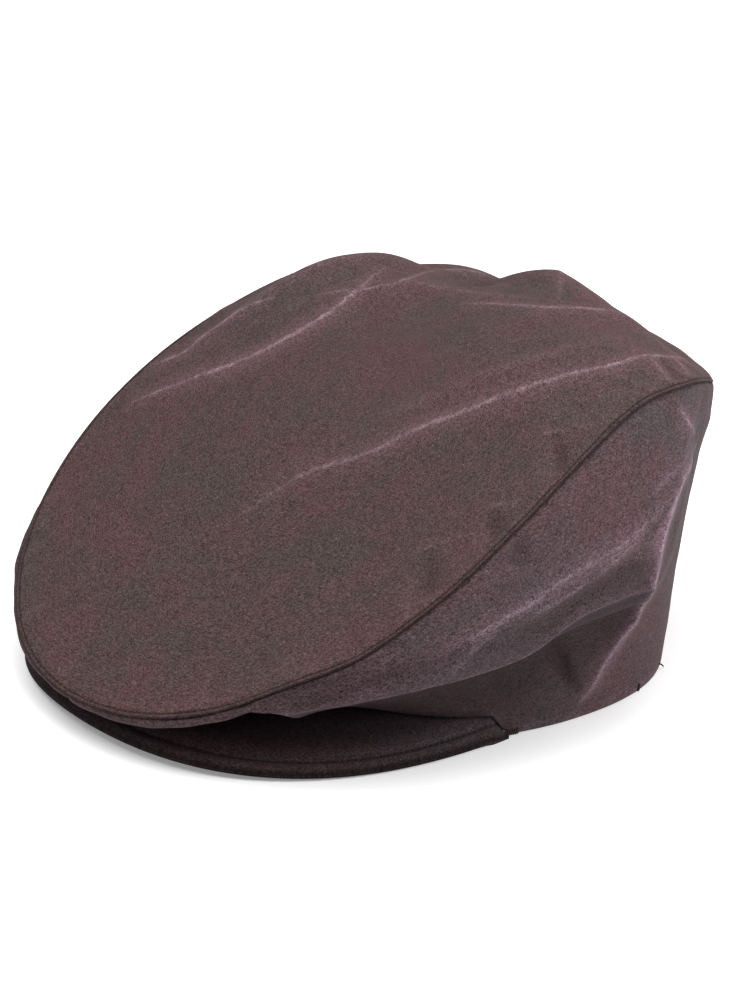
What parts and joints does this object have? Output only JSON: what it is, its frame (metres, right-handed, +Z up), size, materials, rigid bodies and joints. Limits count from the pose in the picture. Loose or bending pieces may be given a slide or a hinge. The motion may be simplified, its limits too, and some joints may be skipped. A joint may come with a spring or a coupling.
{
  "type": "flat cap",
  "caption": "Waxed cotton flat cap with a one-piece top panel, two side panels and a curved peak, resting on its rim.",
  "frame": {"origin": "on the floor under the middle of the cap's length and width", "axes": "-Y towards the peak, +X towards the wearer's left, +Z up"},
  "size_m": [0.1957, 0.2606, 0.1183],
  "materials": {
    "crown_cloth": "waxed cotton, satin, with pale scuffed folds",
    "peak_cloth": "waxed cotton over a stiff board, satin"
  },
  "bodies": {
    "root": {"top_panel": "crown_cloth", "side_panel_left": "crown_cloth", "side_panel_right": "crown_cloth", "peak": "peak_cloth"}
  },
  "joints": []
}
